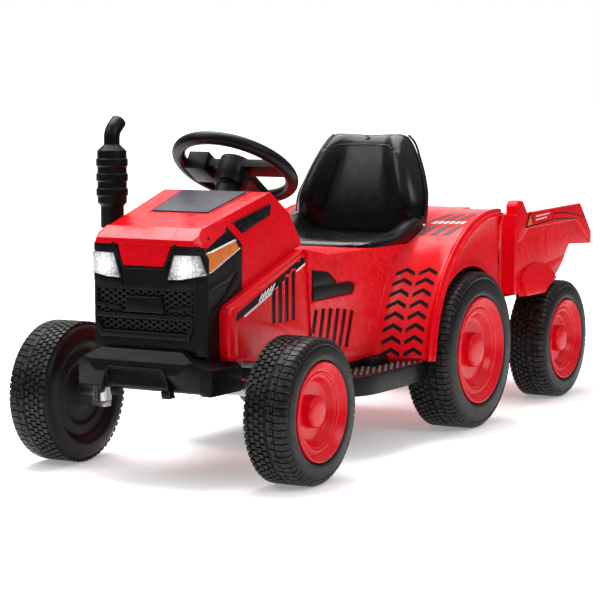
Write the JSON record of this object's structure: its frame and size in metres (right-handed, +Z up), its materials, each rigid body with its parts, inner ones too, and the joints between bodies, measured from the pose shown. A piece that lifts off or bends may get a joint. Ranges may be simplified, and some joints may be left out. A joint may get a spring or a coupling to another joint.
{
  "type": "toy tractor",
  "caption": "Ride-on electric toy tractor with steerable front wheels, bucket seat, exhaust stack and a detachable two-wheeled trailer.",
  "frame": {"origin": "on the ground under the middle of the tractor and trailer, at the bottom centre of the bounding box", "axes": "+Z up, -Y is the way the driver faces, +X is the driver's left"},
  "size_m": [0.528, 1.4, 0.5741],
  "materials": {
    "red_plastic": "glossy moulded red plastic",
    "black_plastic": "satin moulded black plastic",
    "black_gloss": "glossy black moulded plastic",
    "wheel_plastic": "blow-moulded black plastic with tread",
    "steel": "zinc plated steel",
    "clear_lens": "clear moulded lens",
    "reflector_silver": "vacuum metallised reflector",
    "amber_lens": "amber moulded lens",
    "grey_panel": "dark grey textured panel",
    "button_red": "glossy button",
    "battery_case": "battery case"
  },
  "bodies": {
    "tractor": {"battery": "battery_case", "charge_socket": "black_plastic", "control_module": "black_plastic", "dashboard": "black_plastic", "exhaust_stack": "black_plastic", "fender_left": "red_plastic", "fender_right": "red_plastic", "floor_pan": "black_plastic", "footrest_left": "black_plastic", "footrest_right": "black_plastic", "front_axle_beam": "steel", "front_bumper": "black_plastic", "front_grille": "black_plastic", "front_shell": "red_plastic", "gearboxes": "black_plastic", "grille_mask": "black_plastic", "headlamp_lenses": "clear_lens", "headlamp_reflectors": "reflector_silver", "hitch_tongue": "steel", "hood": "red_plastic", "hood_top_panel": "grey_panel", "hood_vents": "black_plastic", "main_body": "red_plastic", "rear_axle": "steel", "seat": "black_gloss", "seat_bolts": "black_gloss", "side_trims": "black_plastic", "turn_signals": "amber_lens"},
    "front_left_wheel": {"tyre_front_left": "wheel_plastic", "wheel_cover_front_left": "red_plastic", "hub_cap_front_left": "red_plastic"},
    "front_right_wheel": {"tyre_front_right": "wheel_plastic", "wheel_cover_front_right": "red_plastic", "hub_cap_front_right": "red_plastic"},
    "rear_left_wheel": {"tyre_rear_left": "wheel_plastic", "wheel_cover_rear_left": "red_plastic", "hub_cap_rear_left": "red_plastic"},
    "rear_right_wheel": {"tyre_rear_right": "wheel_plastic", "wheel_cover_rear_right": "red_plastic", "hub_cap_rear_right": "red_plastic"},
    "trailer_left_wheel": {"tyre_trailer_left": "wheel_plastic", "wheel_cover_trailer_left": "red_plastic", "hub_cap_trailer_left": "red_plastic"},
    "trailer_right_wheel": {"tyre_trailer_right": "wheel_plastic", "wheel_cover_trailer_right": "red_plastic", "hub_cap_trailer_right": "red_plastic"},
    "steering": {"steering_wheel": "black_gloss", "steering_column": "steel"},
    "horn": {"horn_button": "button_red"},
    "music": {"music_button": "button_red"},
    "left_knuckle": {"knuckle_left": "steel"},
    "right_knuckle": {"knuckle_right": "steel"},
    "tie_rod_body": {"tie_rod": "steel"},
    "switch": {"power_switch": "black_plastic"},
    "pedal": {"accelerator_pedal": "black_plastic"},
    "pin": {"hitch_pin": "steel"},
    "trailer": {"trailer_tub": "red_plastic", "trailer_axle": "steel", "trailer_drawbar": "black_plastic", "trailer_reflectors": "amber_lens"}
  },
  "joints": [
    {"name": "steering_turn", "type": "hinge", "parent": "tractor", "child": "steering", "pos_m": [0, -0.4, 0.486], "axis": [0, 0.524, 0.8517], "range_deg": [-36, 36]},
    {"name": "tie_rod_slide", "type": "slide", "parent": "tractor", "child": "tie_rod_body", "axis": [1, 0, 0], "range_m": [-0.0176, 0.0176]},
    {"name": "left_knuckle_turn", "type": "hinge", "parent": "tractor", "child": "left_knuckle", "pos_m": [0.15, -0.57, 0.117], "axis": [0, 0, 1], "range_deg": [-22.3, 22.3]},
    {"name": "right_knuckle_turn", "type": "hinge", "parent": "tractor", "child": "right_knuckle", "pos_m": [-0.15, -0.57, 0.117], "axis": [0, 0, 1], "range_deg": [-22.3, 22.3]},
    {"name": "front_left_spin", "type": "hinge", "parent": "left_knuckle", "child": "front_left_wheel", "pos_m": [0.223, -0.57, 0.117], "axis": [1, 0, 0], "continuous": true},
    {"name": "front_right_spin", "type": "hinge", "parent": "right_knuckle", "child": "front_right_wheel", "pos_m": [-0.223, -0.57, 0.117], "axis": [1, 0, 0], "continuous": true},
    {"name": "rear_left_spin", "type": "hinge", "parent": "tractor", "child": "rear_left_wheel", "pos_m": [0.189, 0.072, 0.143], "axis": [1, 0, 0], "continuous": true},
    {"name": "rear_right_spin", "type": "hinge", "parent": "tractor", "child": "rear_right_wheel", "pos_m": [-0.189, 0.072, 0.143], "axis": [1, 0, 0], "continuous": true},
    {"name": "trailer_left_spin", "type": "hinge", "parent": "trailer", "child": "trailer_left_wheel", "pos_m": [0.171, 0.517, 0.117], "axis": [1, 0, 0], "continuous": true},
    {"name": "trailer_right_spin", "type": "hinge", "parent": "trailer", "child": "trailer_right_wheel", "pos_m": [-0.171, 0.517, 0.117], "axis": [1, 0, 0], "continuous": true},
    {"name": "trailer_yaw", "type": "hinge", "parent": "tractor", "child": "trailer", "pos_m": [0, 0.262, 0.166], "axis": [0, 0, 1], "range_deg": [-18, 18]},
    {"name": "hitch_pin_lift", "type": "slide", "parent": "tractor", "child": "pin", "axis": [0, 0, 1], "range_m": [0, 0.045]},
    {"name": "horn_press", "type": "slide", "parent": "steering", "child": "horn", "axis": [0, -0.524, -0.8517], "range_m": [0, 0.003], "stiffness_N_per_m": 400},
    {"name": "music_press", "type": "slide", "parent": "steering", "child": "music", "axis": [0, -0.524, -0.8517], "range_m": [0, 0.003], "stiffness_N_per_m": 400},
    {"name": "power_rocker", "type": "hinge", "parent": "tractor", "child": "switch", "pos_m": [0.062, -0.3845, 0.38], "axis": [1, 0, 0], "range_deg": [-6, 6]},
    {"name": "pedal_press", "type": "hinge", "parent": "tractor", "child": "pedal", "pos_m": [-0.168, -0.222, 0.144], "axis": [1, 0, 0], "range_deg": [0, 12], "stiffness_Nm_per_rad": 1.5, "springref_deg": -8.59}
  ],
  "couplings": [
    {"joint": "tie_rod_slide", "follows": "steering_turn", "m_per_rad": -0.0276},
    {"joint": "left_knuckle_turn", "follows": "steering_turn", "ratio": 0.6133},
    {"joint": "right_knuckle_turn", "follows": "steering_turn", "ratio": 0.6133}
  ]
}
